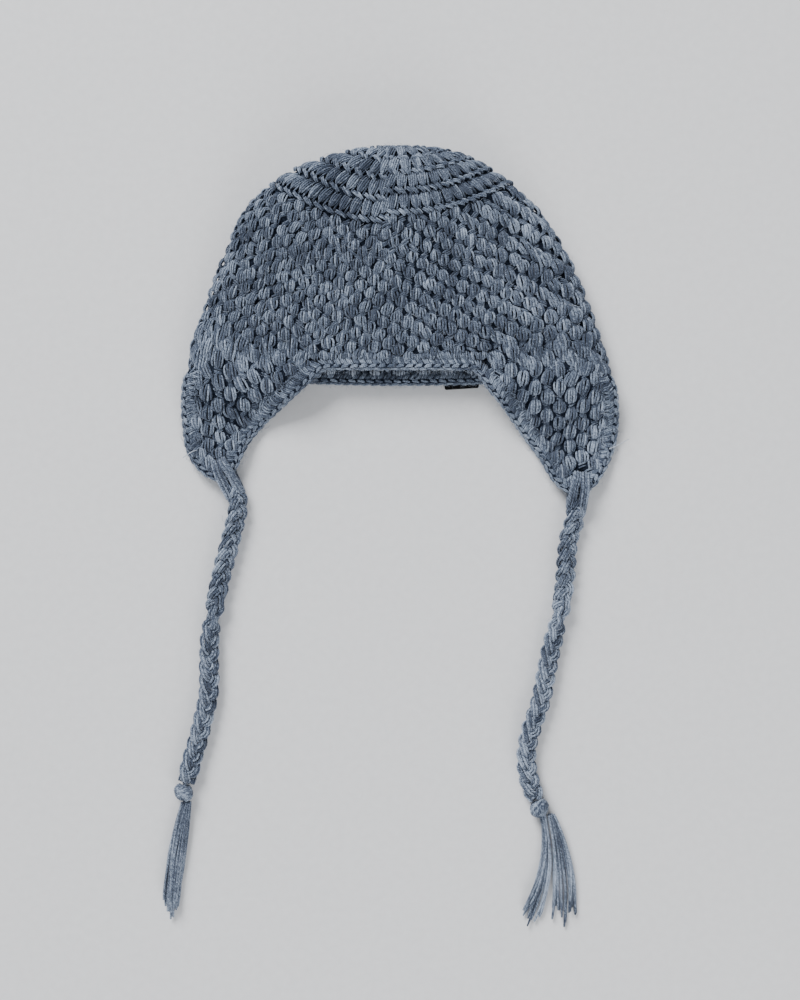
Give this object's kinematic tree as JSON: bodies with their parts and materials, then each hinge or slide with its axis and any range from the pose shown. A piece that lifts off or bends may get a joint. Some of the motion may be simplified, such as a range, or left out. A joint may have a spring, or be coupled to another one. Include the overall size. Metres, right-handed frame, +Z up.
{
  "type": "crocheted ear-flap cap with braided ties",
  "caption": "Soft crocheted baby cap with a domed crown, ear flaps and long braided ties ending in tassels, lying flat on its back.",
  "frame": {"origin": "on the surface the cap lies on, under the middle of the cap with its flaps, without the ties", "axes": "+Z up from the surface, +Y to the crown, +X to the right flap seen from above"},
  "size_m": [0.2259, 0.3825, 0.0285],
  "materials": {
    "yarn": "matt heathered grey-blue plied yarn, slightly fuzzy",
    "label_cloth": "matt woven tape, near black"
  },
  "bodies": {
    "root": {"crown": "yarn", "cap_body": "yarn", "ear_flap_left": "yarn", "ear_flap_right": "yarn", "rim_edging": "yarn", "label": "label_cloth", "tie_loop_left": "yarn", "tie_loop_right": "yarn", "braid_left": "yarn", "braid_right": "yarn", "braid_knot_left": "yarn", "braid_knot_right": "yarn", "tassel_left": "yarn", "tassel_right": "yarn"}
  },
  "joints": []
}
